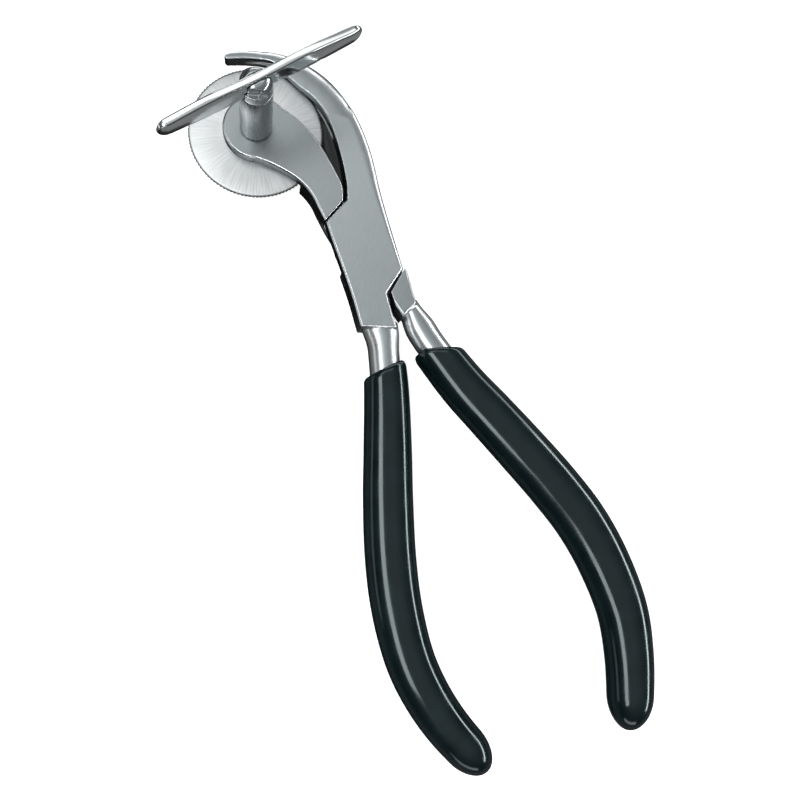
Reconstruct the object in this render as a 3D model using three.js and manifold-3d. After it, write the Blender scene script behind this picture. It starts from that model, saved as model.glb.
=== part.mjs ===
// Ring cutting pliers: a guard lever and a saw lever turn on one flush rivet. The saw lever carries
// a round saw blade on a spindle, which a thumb key turns by hand. The guard lever ends in a thin
// hooked guard that lies under the ring while the blade cuts it.
// Millimetres. The rivet's axis is Z and the joint's flat back is Z = 0. +Y points to the jaws, and
// the guard lever's handle runs straight down -Y. Everything is modelled with the jaws nearly shut.

import * as THREE from "three";
import { mergeVertices } from "three/addons/utils/BufferGeometryUtils.js";
import Module from "manifold-3d";

const wasm = await Module();
wasm.setup();

// Driving dimensions.
const JOINT_THICKNESS = 8;
const LAP_LEVEL = 4; // where the two levers' half-thick plates meet
const LAP_GAP = 0.1;
const RIVET_RADIUS = 3;
const RIVET_LENGTH = 7.2; // the rivet ends inside the front plate
const RUNNING_GAP = 0.06;
const CLOSE_ANGLE = 3.2; // a little more than the saw lever's travel, which leaves the clearance
const OPEN_ANGLE = 26;
const CLEARANCE_SCALE = 1.012;

const SPINDLE = new THREE.Vector2(-24.5, 25.8); // the saw's axis in the jaws-shut position
const BLADE_RADIUS = 15;
const BLADE_THICKNESS = 0.8;
const BLADE_BACK = 3.9;
const BLADE_FRONT = BLADE_BACK + BLADE_THICKNESS;
const BLADE_TEETH = 110;
const TOOTH_DEPTH = 0.22;
const BLADE_POCKET_RADIUS = 15.7;
const GROOVE_RADIUS = 15.9;
const GROOVE_WIDTH = 1.5;
const CHEEK_BACK = 5.5; // back of the saw jaw's cheek, in front of the blade
const HEAD_RADIUS = 7.3;
const LEDGE_TOP = 3.2; // the guard lever's ledge closes the gap between the jaws, behind the blade

const HOUSING_RADIUS = 3.7;
const HOUSING_SPIGOT_RADIUS = 3.1; // the end of the housing that is set into the saw lever
const HOUSING_BORE = 2.66;
const HOUSING_TOP = 25.5;
const SPINDLE_RADIUS = 1.9;
const BUSH_RADIUS = 2.6;
const SPINDLE_HEAD_RADIUS = 3.4;
const SPINDLE_HEAD_BASE = 25.8;
const SPINDLE_HEAD_TOP = 31;
const SPINDLE_FLAT = 2.3; // distance of each wrench flat from the axis
const SPINDLE_FLAT_BASE = 28;
const KEY_ANGLE = THREE.MathUtils.degToRad(31.5);
const KEY_HALF_LENGTH = 23.3;
const KEY_OFFSET = 1.3; // the key's middle lies this far along it from the saw's axis
const KEY_THICKNESS = 1.8;
const KEY_WAIST = 2.35; // half heights at the pin, of the wings, and near the tips
const KEY_WING = 2.95;
const KEY_TIP = 2.2;
const KEY_LEVEL = 28.8;
const KEY_PIN_RADIUS = 0.75;

const COLLAR_RADIUS = 3.3; // the spindle's collar, which the blade is clamped against
const COLLAR_TOP = 5.4;
const DRIVE_PIN_RADIUS = 0.55;
const DRIVE_PIN_DISTANCE = 2.62;
const SCREW_RADIUS = 1.15;
const SCREW_HEAD_RADIUS = 2.6;
const SCREW_HEAD_BOTTOM = 0.95;
const SCREW_HEAD_TOP = 2.2;
const CLAMP_RADIUS = 4.5;
const CLAMP_BOTTOM = 2.95;
const SEAT_GAP = 0.05; // between pieces that are pressed or screwed against each other

const SHANK_RADIUS = 3.5;
const HANDLE_LEVEL = 4; // height of both handles' centre lines
const GRIP_BORE = 3.85;
const GRIP_HALF_HEIGHT = 4.9;

const ROUND = 48; // sides of a running fit's circle
const PLAIN = 32; // sides of other circles

// Materials, one for each finish.
function finish(color, roughness, metalness) {
  return new THREE.MeshStandardMaterial({ color, roughness, metalness });
}

const satinSteel = () => finish(0x9aa2a4, 0.42, 1);
const bladeSteel = () => finish(0xc0c4c6, 0.38, 1);
const polishedSteel = () => finish(0xd2d6d8, 0.16, 1);
const bearingBronze = () => finish(0xa8834a, 0.4, 1);
const blackVinyl = () => finish(0x0d1112, 0.22, 0);

// Solids: three.js geometry in, joined and cut, and geometry out again.
function solid(geometry) {
  const bare = geometry.index ? geometry.toNonIndexed() : geometry.clone();
  bare.deleteAttribute("normal");
  bare.deleteAttribute("uv");
  const merged = mergeVertices(bare, 1e-4);
  return new wasm.Manifold(
    new wasm.Mesh({
      numProp: 3,
      vertProperties: merged.attributes.position.array,
      triVerts: new Uint32Array(merged.index.array),
    }),
  );
}

function geometryOf(body) {
  const mesh = body.getMesh();
  const geometry = new THREE.BufferGeometry();
  geometry.setAttribute("position", new THREE.BufferAttribute(mesh.vertProperties, 3));
  geometry.setIndex(new THREE.BufferAttribute(mesh.triVerts, 1));
  geometry.computeVertexNormals();
  return geometry;
}

function prism(shape, bottom, top, curveSegments = 6) {
  const geometry = new THREE.ExtrudeGeometry(shape, {
    depth: top - bottom,
    bevelEnabled: false,
    curveSegments,
  });
  return solid(geometry.translate(0, 0, bottom));
}

function cylinder(radius, bottom, top, centre = new THREE.Vector2(), sides = ROUND) {
  const geometry = new THREE.CylinderGeometry(radius, radius, top - bottom, sides);
  geometry.rotateX(Math.PI / 2);
  return solid(geometry.translate(centre.x, centre.y, (top + bottom) / 2));
}

// A turned piece on the saw's axis, from [radius, height] corners.
function turned(corners, sides = ROUND) {
  const profile = corners.map(([radius, height]) => new THREE.Vector2(radius, height));
  const geometry = new THREE.LatheGeometry(profile, sides);
  geometry.rotateX(Math.PI / 2);
  return solid(geometry.translate(SPINDLE.x, SPINDLE.y, 0));
}

// A ring on the saw's axis.
function ring(inner, outer, bottom, top, sides = ROUND) {
  return turned(
    [
      [inner, bottom],
      [outer, bottom],
      [outer, top],
      [inner, top],
      [inner, bottom],
    ],
    sides,
  );
}

function turnedAbout(body, degrees) {
  return body.rotate([0, 0, degrees]);
}

// A bar that follows a flat path. Each station is [share of the length, half width, half height,
// squareness], and a squareness of 2 is an ellipse.
function bar(points, height, stations, sides) {
  const path = new THREE.CatmullRomCurve3(
    points.map(([x, y]) => new THREE.Vector3(x, y, height)),
    false,
    "centripetal",
  );
  const geometry = new THREE.CylinderGeometry(1, 1, 1, sides, stations.length - 1);
  const position = geometry.attributes.position;
  for (let i = 0; i < position.count; i += 1) {
    const row = Math.round((0.5 - position.getY(i)) * (stations.length - 1));
    const [share, halfWidth, halfHeight, squareness] = stations[row];
    const point = path.getPointAt(share);
    const tangent = path.getTangentAt(share);
    const across = rounded(position.getX(i), squareness) * halfWidth;
    const up = rounded(position.getZ(i), squareness) * halfHeight;
    position.setXYZ(i, point.x - tangent.y * across, point.y + tangent.x * across, point.z + up);
  }
  return solid(geometry);
}

// Turns a circle's coordinate into a rounded square's, and keeps the seam closed at zero.
function rounded(value, squareness) {
  if (Math.abs(value) < 1e-9) {
    return 0;
  }
  return Math.sign(value) * Math.abs(value) ** (2 / squareness);
}

// Stations with a rounded last end: even rows, then rows that close like a dome.
function domed(rows, widthAt, heightAt, domeShare, domeRows) {
  const stations = [];
  for (let i = 0; i <= rows; i += 1) {
    const share = ((1 - domeShare) * i) / rows;
    stations.push([share, widthAt(share), heightAt(share), 2.2]);
  }
  for (let i = 1; i <= domeRows; i += 1) {
    const turn = (i / domeRows) * 1.36;
    const share = 1 - domeShare + domeShare * Math.sin(turn);
    const size = Math.cos(turn);
    stations.push([share, widthAt(share) * size, heightAt(share) * size, 2.2]);
  }
  return stations;
}

// Outlines.
function outline(...runs) {
  const shape = new THREE.Shape();
  const [startX, startY] = runs[0][0];
  shape.moveTo(startX, startY);
  for (const run of runs) {
    const points = run.map(([x, y]) => new THREE.Vector2(x, y));
    if (points.length > 2) {
      shape.splineThru(points.slice(1));
    } else {
      shape.lineTo(points[1].x, points[1].y);
    }
  }
  return shape;
}

const GUARD_SHOULDER_LEFT = [-8.9, 5];
const GUARD_SHOULDER_RIGHT = [-4.3, 10.4];
const GUARD_CORNER_LOW = [4.8, -10.6];
const GUARD_CORNER_HIGH = [8.5, -4.8];
const GUARD_ROOT_LEFT = [-1.1, -18.3];
const GUARD_ROOT_RIGHT = [7, -18.3];

// The guard lever's outline: plate, curved jaw and hooked guard.
function guardLeverShape() {
  const outerEdge = [
    GUARD_CORNER_HIGH,
    [5.1, 6.6],
    [3.4, 12.7],
    [0.9, 22.7],
    [-2.8, 31.2],
    [-8.3, 38.7],
    [-15, 43],
    [-21.5, 44.6],
    [-28, 44.4],
    [-31.3, 43.4],
  ];
  const guardTip = [
    [-31.3, 43.4],
    [-31.9, 42.7],
    [-31.3, 42.1],
  ];
  const underGuard = [
    [-31.3, 42.1],
    [-26, 42.5],
    [-21.3, 42],
    [-18.6, 39.4],
    [-15.4, 36.5],
    [-11.2, 32.9],
    [-7.9, 27.2],
    [-5.7, 20.3],
    [-4.4, 14],
    GUARD_SHOULDER_RIGHT,
  ];
  const plateEdge = [GUARD_SHOULDER_LEFT, [-7.4, 0.6], [-5.3, -5.1], [-3.1, -11.4], GUARD_ROOT_LEFT];
  const tongueEdge = [GUARD_ROOT_RIGHT, [5.7, -14], GUARD_CORNER_LOW];
  return outline(
    outerEdge,
    guardTip,
    underGuard,
    [GUARD_SHOULDER_RIGHT, GUARD_SHOULDER_LEFT],
    plateEdge,
    [GUARD_ROOT_LEFT, GUARD_ROOT_RIGHT],
    tongueEdge,
    [GUARD_CORNER_LOW, GUARD_CORNER_HIGH],
  );
}

const SAW_ROOT_RIGHT = [11.4, -12.7];
const SAW_ROOT_LEFT = [8.4, -15.8];

// The saw lever's outline without its round head: jaw, round plate at the joint and shank root.
function sawLeverShape() {
  const jawUnder = [
    [-24.4, 18.5],
    [-20.4, 17.1],
    [-15.5, 14.4],
    [-12.3, 11.2],
    [-10.5, 7.8],
    [-8.7, 4.4],
  ];
  const plateLeft = [
    [-8.7, 4.4],
    [-6.8, 1.2],
    [-6, -1.4],
    [-3.4, -5.6],
  ];
  const plateRight = [
    [9.4, -5.8],
    [7.4, -1.6],
    [6.4, 2.3],
    [3.9, 5.6],
  ];
  const jawUpper = [
    [-3.9, 10.6],
    [-6.7, 16.5],
    [-10.6, 23],
    [-15.1, 28],
    [-19.4, 30.9],
  ];
  return outline(
    jawUnder,
    plateLeft,
    [[-3.4, -5.6], [4.9, -10.8]],
    [[4.9, -10.8], SAW_ROOT_LEFT],
    [SAW_ROOT_LEFT, SAW_ROOT_RIGHT],
    [SAW_ROOT_RIGHT, [9.4, -5.8]],
    plateRight,
    [[3.9, 5.6], [-3.9, 10.6]],
    jawUpper,
    [[-19.4, 30.9], [-24.4, 18.5]],
  );
}

// The strip of the back that the guard lever leaves free for the saw lever's plate.
function guardRecess() {
  const halfWidth = 7.4;
  const strip = new THREE.Shape([
    new THREE.Vector2(-30, -halfWidth),
    new THREE.Vector2(30, -halfWidth),
    new THREE.Vector2(30, halfWidth),
    new THREE.Vector2(-30, halfWidth),
  ]);
  return turnedAbout(prism(strip, -1, LAP_LEVEL + LAP_GAP / 2), -34);
}

// The front of the saw lever that the guard lever's plate fills, between the two shoulders.
function sawRecess() {
  const field = new THREE.Shape([
    new THREE.Vector2(-16.3, -3.8),
    new THREE.Vector2(-2.2, 12.9),
    new THREE.Vector2(14, 12),
    new THREE.Vector2(14.3, 4.1),
    new THREE.Vector2(-0.8, -19.2),
    new THREE.Vector2(-12, -14),
  ]);
  return prism(field, LAP_LEVEL - LAP_GAP / 2, JOINT_THICKNESS + 1);
}

const GUARD_HANDLE = [
  [3.6, -17.4],
  [4.2, -20],
  [4.6, -24],
  [5.2, -32],
  [5.5, -45],
  [5.6, -56],
  [6.2, -69],
  [7.6, -79.5],
  [10.3, -89.8],
  [13.6, -96.9],
  [18.3, -103.9],
  [27.2, -113.7],
];
const SAW_HANDLE = [
  [9.9, -12.4],
  [12, -16.2],
  [15.2, -21.2],
  [22.6, -30.3],
  [28.6, -36.6],
  [36, -44.5],
  [43.3, -52.6],
  [49.5, -60.5],
  [54.5, -69.3],
  [58.7, -80.3],
  [60, -89.5],
  [60.1, -97.7],
  [59.5, -106.5],
];

// The steel handle core: a round shank, which is wider or narrower where it leaves the flat root,
// and which runs on inside the grip.
function handleCore(points, rootHalfWidth) {
  const rootShare = 0.06;
  const height = () => SHANK_RADIUS;
  const width = (share) => {
    const nearRoot = Math.max(0, 1 - share / rootShare);
    return SHANK_RADIUS + (rootHalfWidth - SHANK_RADIUS) * nearRoot;
  };
  return bar(points, HANDLE_LEVEL, domed(16, width, height, 0.035, 2), 20);
}

// The half width of a grip swells along it from the rim and falls again towards its end.
function gripWidth(fullness) {
  return (share) => fullness * (4.85 + 1.1 * Math.sin(Math.PI * share) ** 0.8 - 0.25 * share);
}

function gripHeight(share) {
  return GRIP_HALF_HEIGHT + 0.1 * Math.sin(Math.PI * share);
}

// A dipped sleeve with a closed end. The rim is cut at a slant: rimPoint lies on the cut, and
// rimAngle is the cut's direction in degrees.
function grip(points, rimPoint, rimAngle, fullness) {
  const width = gripWidth(fullness);
  const skin = bar(points.slice(2), HANDLE_LEVEL, domed(18, width, gripHeight, 0.075, 5), 22);
  const bore = () => GRIP_BORE;
  const hollow = bar(shortened(points, 2.2), HANDLE_LEVEL, domed(16, bore, bore, 0.035, 2), 16);
  const block = new THREE.BoxGeometry(60, 40, 40);
  block.translate(0, 20, 0);
  block.rotateZ(THREE.MathUtils.degToRad(rimAngle));
  block.translate(rimPoint[0], rimPoint[1], HANDLE_LEVEL);
  return skin.subtract(hollow).subtract(solid(block));
}

// The handle's core and the sleeve's bore end short of the grip's closed end.
function shortened(points, distance) {
  const last = new THREE.Vector2(...points[points.length - 1]);
  const before = new THREE.Vector2(...points[points.length - 2]);
  const step = last.clone().sub(before).setLength(distance);
  return points.slice(0, -1).concat([[last.x - step.x, last.y - step.y]]);
}

// The rounded envelope of the guard lever's jaw: flat along the inner edge and round outside, and
// thinner towards the guard.
function jawEnvelope() {
  const innerEdge = [
    [3, -40],
    [1, -19],
    [-1.5, 0],
    [-4.4, 14],
    [-5.7, 20.3],
    [-7.9, 27.2],
    [-11.2, 32.9],
    [-15.4, 37.6],
    [-20.6, 41],
    [-26.5, 42.1],
    [-33, 41.6],
  ];
  const stations = [
    [0, 40, 6, 10],
    [0.3, 32, 6, 10],
    [0.46, 16, 5.2, 6],
    [0.56, 11, 4.5, 4],
    [0.64, 8.4, 4.15, 3],
    [0.71, 7.1, 3.8, 2.6],
    [0.78, 6.1, 3.3, 2.5],
    [0.85, 4.6, 2.5, 2.5],
    [0.91, 3.2, 2, 2.5],
    [1, 2.6, 1.75, 2.5],
  ];
  return bar(innerEdge, 4.15, stations, 40);
}

// A low ledge along the jaw's inner edge, which reaches under the blade's rim.
function jawLedge() {
  const ledge = new THREE.Shape();
  ledge.moveTo(-3.4, 11);
  ledge.lineTo(-5.6, 11.6);
  ledge.splineThru([
    new THREE.Vector2(-9.4, 18.6),
    new THREE.Vector2(-11.4, 24.4),
    new THREE.Vector2(-12.2, 30.4),
  ]);
  ledge.lineTo(-9.4, 32.4);
  ledge.lineTo(-4.6, 22);
  return prism(ledge, 0, LEDGE_TOP);
}

function guardLeverBlank() {
  return prism(guardLeverShape(), 0, JOINT_THICKNESS).add(jawLedge()).subtract(guardRecess());
}

// The blade's edge dips into this groove in the guard and in the guard lever's jaw.
function bladeGroove() {
  const middle = (BLADE_BACK + BLADE_FRONT) / 2;
  const low = middle - GROOVE_WIDTH / 2;
  const disc = cylinder(GROOVE_RADIUS, low, low + GROOVE_WIDTH, SPINDLE, 96);
  return disc.add(turnedAbout(disc, -CLOSE_ANGLE));
}

function guardLever() {
  const blank = guardLeverBlank().intersect(jawEnvelope());
  const core = handleCore(shortened(GUARD_HANDLE, 2.6), 4.1);
  const bore = cylinder(RIVET_RADIUS + RUNNING_GAP, -1, RIVET_LENGTH + RUNNING_GAP);
  return blank.add(core).subtract(bladeGroove()).subtract(bore);
}

function sawLever() {
  const blank = prism(sawLeverShape(), 0, JOINT_THICKNESS)
    .add(cylinder(HEAD_RADIUS, 0, JOINT_THICKNESS, SPINDLE, 64))
    .subtract(sawRecess())
    .subtract(cylinder(BLADE_POCKET_RADIUS, -1, CHEEK_BACK, SPINDLE, 96))
    .subtract(cylinder(HOUSING_SPIGOT_RADIUS + 0.02, 0, JOINT_THICKNESS + 1, SPINDLE))
    .subtract(cylinder(RIVET_RADIUS + RUNNING_GAP, -1, JOINT_THICKNESS));
  const core = handleCore(shortened(SAW_HANDLE, 2.6), 2.4);
  const wider = guardLeverBlank().scale([CLEARANCE_SCALE, CLEARANCE_SCALE, 1]);
  let lever = blank.add(core.subtract(sawRecess()));
  const steps = 4;
  for (let i = 0; i <= steps; i += 1) {
    const opened = -CLOSE_ANGLE + ((CLOSE_ANGLE + OPEN_ANGLE) * i) / steps;
    lever = lever.subtract(turnedAbout(wider, -opened));
  }
  return lever;
}

// The saw's bearing on the saw lever.
function spindleHousing() {
  const profile = [
    [HOUSING_BORE, CHEEK_BACK + 0.1],
    [HOUSING_SPIGOT_RADIUS, CHEEK_BACK + 0.1],
    [HOUSING_SPIGOT_RADIUS, JOINT_THICKNESS + 0.02],
    [HOUSING_RADIUS, JOINT_THICKNESS + 0.02],
    [HOUSING_RADIUS, 21],
    [HOUSING_RADIUS - 0.06, 23.2],
    [SPINDLE_HEAD_RADIUS + 0.05, HOUSING_TOP],
    [HOUSING_BORE, HOUSING_TOP],
    [HOUSING_BORE, CHEEK_BACK + 0.1],
  ];
  return turned(profile, PLAIN);
}

function bush(bottom, top) {
  return ring(SPINDLE_RADIUS + RUNNING_GAP, BUSH_RADIUS, bottom, top);
}

// A slot across the saw's axis, as wide as the key and a little more.
function crossSlot(length, width, bottom, top, angle) {
  const box = new THREE.BoxGeometry(length, width, top - bottom);
  box.rotateZ(angle);
  return solid(box.translate(SPINDLE.x, SPINDLE.y, (bottom + top) / 2));
}

function crossPin(radius, halfLength) {
  const pin = new THREE.CylinderGeometry(radius, radius, 2 * halfLength, 20);
  pin.rotateZ(KEY_ANGLE);
  return solid(pin.translate(SPINDLE.x, SPINDLE.y, KEY_LEVEL));
}

function drivePin(turn, radius, bottom, top) {
  const centre = new THREE.Vector2(DRIVE_PIN_DISTANCE, 0).rotateAround(new THREE.Vector2(), turn);
  return cylinder(radius, bottom, top, centre.add(SPINDLE), 16);
}

function sawSpindle() {
  const shaft = turned([
    [0, 3.3],
    [SPINDLE_RADIUS, 3.3],
    [SPINDLE_RADIUS, BLADE_FRONT + 0.04],
    [COLLAR_RADIUS, BLADE_FRONT + 0.04],
    [COLLAR_RADIUS, COLLAR_TOP],
    [SPINDLE_RADIUS, COLLAR_TOP],
    [SPINDLE_RADIUS, SPINDLE_HEAD_BASE],
    [SPINDLE_HEAD_RADIUS, SPINDLE_HEAD_BASE],
    [SPINDLE_HEAD_RADIUS, 28.6],
    [3.2, 29.5],
    [2.7, 30.3],
    [1.8, 30.8],
    [0, SPINDLE_HEAD_TOP],
  ]);
  let spindle = shaft
    .subtract(crossSlot(12, KEY_THICKNESS + 0.3, KEY_LEVEL - KEY_WING, 40, KEY_ANGLE))
    .subtract(crossPin(KEY_PIN_RADIUS + SEAT_GAP, 6))
    .subtract(cylinder(SCREW_RADIUS + 0.1, 3, 9.3, SPINDLE, 24));
  for (const side of [-1, 1]) {
    const flat = new THREE.BoxGeometry(12, 4, 8);
    flat.translate(SPINDLE.x, SPINDLE.y + side * (SPINDLE_FLAT + 2), SPINDLE_FLAT_BASE + 4);
    spindle = spindle.subtract(solid(flat));
  }
  for (const turn of [0, Math.PI]) {
    spindle = spindle.subtract(drivePin(turn, DRIVE_PIN_RADIUS + SEAT_GAP, 4, COLLAR_TOP - 0.15));
  }
  return spindle;
}

// The saw: a thin disc with fine raked teeth.
function sawBlade() {
  const edge = new THREE.Shape();
  const pitch = (2 * Math.PI) / BLADE_TEETH;
  const root = BLADE_RADIUS - TOOTH_DEPTH;
  edge.moveTo(BLADE_RADIUS, 0);
  for (let tooth = 0; tooth < BLADE_TEETH; tooth += 1) {
    const back = (tooth + 0.8) * pitch;
    const tip = (tooth + 1) * pitch;
    edge.lineTo(root * Math.cos(back), root * Math.sin(back));
    if (tooth < BLADE_TEETH - 1) {
      edge.lineTo(BLADE_RADIUS * Math.cos(tip), BLADE_RADIUS * Math.sin(tip));
    }
  }
  edge.closePath();
  const disc = prism(edge, BLADE_BACK, BLADE_FRONT).translate([SPINDLE.x, SPINDLE.y, 0]);
  let blade = disc.subtract(cylinder(SPINDLE_RADIUS + SEAT_GAP, 0, 9, SPINDLE));
  for (const turn of [0, Math.PI]) {
    blade = blade.subtract(drivePin(turn, DRIVE_PIN_RADIUS + SEAT_GAP, 3, 6));
  }
  return blade;
}

function clampWasher() {
  return turned([
    [SPINDLE_RADIUS + SEAT_GAP, CLAMP_BOTTOM],
    [CLAMP_RADIUS - 0.4, CLAMP_BOTTOM],
    [CLAMP_RADIUS, CLAMP_BOTTOM + 0.35],
    [CLAMP_RADIUS, BLADE_BACK - SEAT_GAP],
    [SPINDLE_RADIUS + SEAT_GAP, BLADE_BACK - SEAT_GAP],
    [SPINDLE_RADIUS + SEAT_GAP, CLAMP_BOTTOM],
  ]);
}

// The split washer under the screw head.
function lockWasher() {
  const gap = new THREE.BoxGeometry(4, 0.5, 2);
  gap.translate(SPINDLE.x + 2.5, SPINDLE.y, CLAMP_BOTTOM - 0.3);
  const washer = ring(SCREW_RADIUS + 0.25, 2.5, SCREW_HEAD_TOP + SEAT_GAP, CLAMP_BOTTOM - SEAT_GAP, 36);
  return washer.subtract(solid(gap));
}

function bladeScrew() {
  const screw = turned(
    [
      [0, SCREW_HEAD_BOTTOM],
      [1.7, SCREW_HEAD_BOTTOM + 0.08],
      [2.3, SCREW_HEAD_BOTTOM + 0.3],
      [SCREW_HEAD_RADIUS, SCREW_HEAD_BOTTOM + 0.7],
      [SCREW_HEAD_RADIUS, SCREW_HEAD_TOP],
      [SCREW_RADIUS, SCREW_HEAD_TOP],
      [SCREW_RADIUS, 9],
      [0, 9],
    ],
    36,
  );
  return screw.subtract(crossSlot(8, 0.7, 0, SCREW_HEAD_BOTTOM + 0.65, 0.6));
}

// The thumb key: a flat bar on edge. Its two wings swell from a waist at the pin and end round.
function thumbKey() {
  const reach = KEY_HALF_LENGTH - KEY_TIP;
  const wing = reach * 0.52;
  const side = new THREE.Shape();
  for (const turn of [1, -1]) {
    const wave = [
      [-reach, -KEY_TIP],
      [-wing, -KEY_WING],
      [0, -KEY_WAIST],
      [wing, -KEY_WING],
      [reach, -KEY_TIP],
    ].map(([x, y]) => new THREE.Vector2(turn * x, turn * y));
    if (turn === 1) {
      side.moveTo(wave[0].x, wave[0].y);
    }
    side.splineThru(wave.slice(1));
    const start = turn === 1 ? -Math.PI / 2 : Math.PI / 2;
    side.absarc(turn * reach, 0, KEY_TIP, start, start + Math.PI, false);
  }
  const plate = new THREE.ExtrudeGeometry(side, {
    depth: KEY_THICKNESS,
    bevelEnabled: false,
    curveSegments: 6,
  });
  plate.translate(KEY_OFFSET, 0, -KEY_THICKNESS / 2);
  plate.rotateX(Math.PI / 2);
  plate.rotateZ(KEY_ANGLE);
  plate.translate(SPINDLE.x, SPINDLE.y, KEY_LEVEL);
  return solid(plate).subtract(crossPin(KEY_PIN_RADIUS + SEAT_GAP, 6));
}

// Assembly.
const pliers = new THREE.Group();

function addPiece(name, body, material) {
  const mesh = new THREE.Mesh(geometryOf(body), material);
  mesh.name = name;
  pliers.add(mesh);
}

addPiece("guard_lever", guardLever(), satinSteel());
addPiece("saw_lever", sawLever(), satinSteel());
addPiece("joint_rivet", cylinder(RIVET_RADIUS, 0, RIVET_LENGTH), satinSteel());
addPiece("guard_lever_grip", grip(GUARD_HANDLE, [4.7, -27.1], 24, 0.96), blackVinyl());
addPiece("saw_lever_grip", grip(SAW_HANDLE, [17, -22.4], 10, 1.03), blackVinyl());

addPiece("spindle_housing", spindleHousing(), satinSteel());
addPiece("lower_bush", bush(CHEEK_BACK + 0.3, 11), bearingBronze());
addPiece("upper_bush", bush(20, HOUSING_TOP - 0.1), bearingBronze());

addPiece("saw_spindle", sawSpindle(), polishedSteel());
addPiece("saw_blade", sawBlade(), bladeSteel());
for (const [name, turn] of [["drive_pin_1", 0], ["drive_pin_2", Math.PI]]) {
  addPiece(name, drivePin(turn, DRIVE_PIN_RADIUS, BLADE_BACK, COLLAR_TOP - 0.2), polishedSteel());
}
addPiece("clamp_washer", clampWasher(), polishedSteel());
addPiece("lock_washer", lockWasher(), polishedSteel());
addPiece("blade_screw", bladeScrew(), polishedSteel());
addPiece("thumb_key", thumbKey(), polishedSteel());
addPiece("key_pin", crossPin(KEY_PIN_RADIUS, 2.6), polishedSteel());

export default pliers;
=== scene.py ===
# Ring cutting pliers: the visual model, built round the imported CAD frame.
# Shapes are made in millimetres, on the frame's axes, and scaled to metres as they are finished.

import math

import bmesh
import bpy
import numpy as np
from mathutils import Matrix, Vector


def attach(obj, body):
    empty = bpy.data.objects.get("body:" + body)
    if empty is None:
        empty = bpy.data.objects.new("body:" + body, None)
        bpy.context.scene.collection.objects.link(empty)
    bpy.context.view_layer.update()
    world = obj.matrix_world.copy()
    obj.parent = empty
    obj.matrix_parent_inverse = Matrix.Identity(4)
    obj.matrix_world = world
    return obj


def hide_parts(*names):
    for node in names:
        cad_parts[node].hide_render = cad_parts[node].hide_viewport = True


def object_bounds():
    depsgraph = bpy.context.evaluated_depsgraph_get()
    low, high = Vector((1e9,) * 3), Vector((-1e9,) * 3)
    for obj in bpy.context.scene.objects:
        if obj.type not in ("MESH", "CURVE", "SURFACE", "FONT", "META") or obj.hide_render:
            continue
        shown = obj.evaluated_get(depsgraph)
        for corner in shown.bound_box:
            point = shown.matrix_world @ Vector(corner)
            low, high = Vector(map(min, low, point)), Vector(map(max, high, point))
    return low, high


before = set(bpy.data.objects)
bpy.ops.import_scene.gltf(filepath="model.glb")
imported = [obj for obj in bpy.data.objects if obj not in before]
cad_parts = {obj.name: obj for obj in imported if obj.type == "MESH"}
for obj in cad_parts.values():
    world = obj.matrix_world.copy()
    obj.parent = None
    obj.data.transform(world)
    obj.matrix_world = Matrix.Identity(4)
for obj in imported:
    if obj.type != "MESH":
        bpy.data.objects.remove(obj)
cad_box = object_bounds()

MM = 0.001
QUARTER = math.pi / 2
SPAN_STEPS = 16  # points in each span of a lever's outline
SPINDLE = np.array([-24.5, 25.8])  # the saw's axis
JOINT_THICKNESS = 8.0
LAP_LEVEL = 4.0
LAP_GAP = 0.1
LAP_TURN = math.radians(-34)  # the strip of the guard lever's back that the saw lever's plate fills
LAP_HALF_WIDTH = 7.4
SWEEP_ROOM = 0.2  # the room that the saw lever leaves round the guard lever
SWEEP_START, SWEEP_TRAVEL, SWEEP_STEPS = 3.6, 29.8, 8  # in degrees, a little past both limits
CLOSED_TURN = math.radians(-3.2)  # how the blade's place in the guard turns as the jaws shut
RIVET_BORE = 3.06
RIVET_BORE_TOP = 7.26
HANDLE_LEVEL = 4.0
SHANK_RADIUS = 3.5
CORE_SETBACK = 2.6  # how far a handle's core ends short of its path's end
CORE_DOME = 0.035  # share of a core's path, and of its bore's
ROOT_SHARE = 0.06  # the part of a core that widens or narrows to its flat root
GRIP_BORE = 3.85
BLADE_RADIUS = 15.0
BLADE_BACK = 3.9
BLADE_FRONT = 4.7
BLADE_TEETH = 110
TOOTH_STEPS = 10
TOOTH_DEPTH = 0.22
TOOTH_BACK = 0.8  # share of a tooth's pitch
GROOVE_RADIUS, GROOVE_HALF_WIDTH = 15.9, 0.75
POCKET_RADIUS = 15.7
CHEEK_BACK = 5.5
HEAD_RADIUS = 7.3
SPIGOT_BORE = 3.12
LEDGE_TOP = 3.2
GUARD_EDGE, SAW_EDGE = 0.4, 0.38  # the chamfers round the two levers' plates
KEY_ANGLE = math.radians(31.5)
KEY_LEVEL = 28.8
KEY_REACH = 21.1
KEY_WAIST, KEY_WING, KEY_TIP = 2.35, 2.95, 2.2
KEY_THICKNESS = 1.8
KEY_EDGE = 0.45
KEY_OFFSET = 1.3

GUARD_BODY, SAW_BODY, SPIN_BODY = "guard_lever_body", "saw_lever_body", "saw_body"


# Curves ------------------------------------------------------------------------------------------


def spline(points, per_span):
    """An even Catmull-Rom curve through flat points."""
    p = np.array(points, float)
    last = len(p) - 1
    found = []
    for k in range(last * per_span + 1):
        i = min(k // per_span, last - 1)
        w = k / per_span - i
        before, a, b, after = p[max(i - 1, 0)], p[i], p[i + 1], p[min(i + 2, last)]
        va, vb = (b - before) / 2, (after - a) / 2
        cubic = 2 * a - 2 * b + va + vb
        square = -3 * a + 3 * b - 2 * va - vb
        found.append(cubic * w**3 + square * w**2 + va * w + a)
    return np.array(found)


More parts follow.
